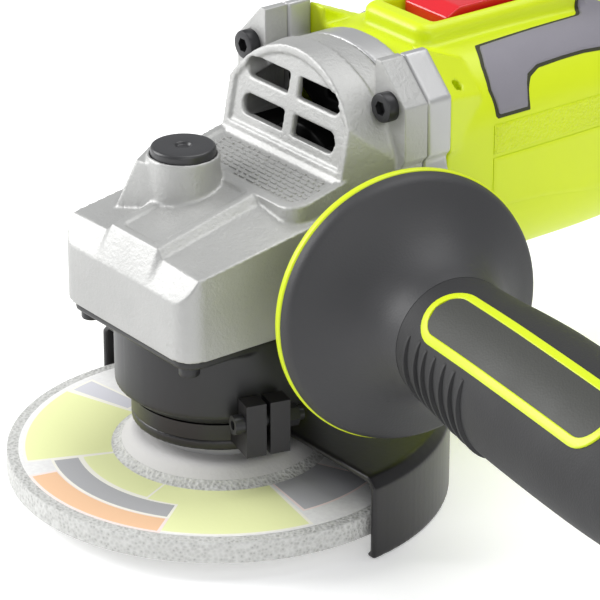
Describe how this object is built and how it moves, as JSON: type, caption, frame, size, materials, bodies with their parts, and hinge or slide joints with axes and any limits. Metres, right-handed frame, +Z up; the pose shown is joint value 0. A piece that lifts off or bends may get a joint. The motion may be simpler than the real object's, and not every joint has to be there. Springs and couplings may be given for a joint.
{
  "type": "angle grinder",
  "caption": "Corded angle grinder with depressed-centre disc, turning wheel guard, cast gear head, spindle lock, slide switch and side handle with hand guard.",
  "frame": {"origin": "centre of the spindle's free end, below the lock nut", "axes": "+Z up the spindle, +Y back along the motor, +X towards the fitted side handle"},
  "size_m": [0.2807, 0.3245, 0.1336],
  "materials": {
    "cast_aluminium": "satin sand-cast, lightly grained",
    "bracket_aluminium": "satin machined",
    "black_steel": "black oxide",
    "black_cover": "semi-matt black",
    "guard_black": "semi-matt black powder coat",
    "bearing_steel": "ground",
    "gear_steel": "hardened, oiled",
    "sintered_bronze": "matt",
    "seal_rubber": "matt",
    "lamination_steel": "varnished stack",
    "copper": "enamelled copper",
    "carbon": "sintered carbon",
    "dark_plastic": "matt, fine grain",
    "button_plastic": "satin",
    "abrasive": "coarse bonded abrasive, pale",
    "label_paper": null,
    "lime_plastic": "satin gloss",
    "soft_grey": "soft-touch overmould",
    "red_plastic": "gloss",
    "grey_rubber": "soft-touch, matt"
  },
  "bodies": {
    "housing": {"bearing_bracket": "bracket_aluminium", "bearing_cover": "black_cover", "bearing_retainer": "bearing_steel", "brush_holders": "sintered_bronze", "brush_springs": "bearing_steel", "carbon_brushes": "carbon", "cord_inlet": "seal_rubber", "cover_screws": "black_steel", "dust_seal": "seal_rubber", "fan_baffle": "dark_plastic", "field_coils": "copper", "front_bearing_outer": "bearing_steel", "gear_case": "cast_aluminium", "gear_case_screws": "black_steel", "hand_guard": "grey_rubber", "hand_guard_rim": "lime_plastic", "handle_core": "dark_plastic", "handle_end_cap": "grey_rubber", "handle_grip": "grey_rubber", "handle_ring_inlay": "lime_plastic", "handle_stud": "bearing_steel", "motor_housing": "lime_plastic", "rear_bearing_outer": "bearing_steel", "rear_bearing_sleeve": "seal_rubber", "rear_cover_left": "dark_plastic", "rear_cover_right": "dark_plastic", "rear_cover_screws": "black_steel", "side_grips": "soft_grey", "spindle_bearing_outer": "bearing_steel", "stator_core": "lamination_steel", "switch_block": "dark_plastic", "top_bush": "sintered_bronze"},
    "spindle_set": {"spindle": "bearing_steel", "crown_gear": "gear_steel", "spindle_bearing_inner": "bearing_steel", "inner_flange": "bracket_aluminium", "grinding_disc": "abrasive", "disc_label": "label_paper", "lock_nut": "bracket_aluminium"},
    "armature_set": {"armature_shaft": "bearing_steel", "pinion": "gear_steel", "pinion_nut": "black_steel", "armature_core": "lamination_steel", "armature_windings": "copper", "commutator": "copper", "fan": "dark_plastic", "front_bearing_inner": "bearing_steel", "rear_bearing_inner": "bearing_steel"},
    "lock": {"lock_button": "button_plastic", "lock_pin": "bearing_steel", "lock_spring": "bearing_steel"},
    "guard": {"wheel_guard": "guard_black", "guard_clamp_band": "guard_black", "clamp_screw": "black_steel", "clamp_nut": "black_steel"},
    "switch": {"switch_slider": "red_plastic", "switch_rod": "dark_plastic"}
  },
  "joints": [
    {"name": "spindle_spin", "type": "hinge", "parent": "housing", "child": "spindle_set", "pos_m": [0, 0, 0], "axis": [0, 0, 1], "continuous": true},
    {"name": "armature_spin", "type": "hinge", "parent": "housing", "child": "armature_set", "pos_m": [0, 0, 0.081], "axis": [0, 1, 0], "continuous": true},
    {"name": "lock_button_press", "type": "slide", "parent": "housing", "child": "lock", "axis": [0, 0, -1], "range_m": [0, 0.0035], "stiffness_N_per_m": 1500, "springref_m": -0.003, "deforming": ["lock_spring"]},
    {"name": "guard_turn", "type": "hinge", "parent": "housing", "child": "guard", "pos_m": [0, 0, 0.02], "axis": [0, 0, 1], "range_deg": [-60, 60]},
    {"name": "switch_slide", "type": "slide", "parent": "housing", "child": "switch", "axis": [0, -1, 0], "range_m": [0, 0.006]}
  ],
  "couplings": [
    {"joint": "armature_spin", "follows": "spindle_spin", "ratio": 3.0909}
  ]
}
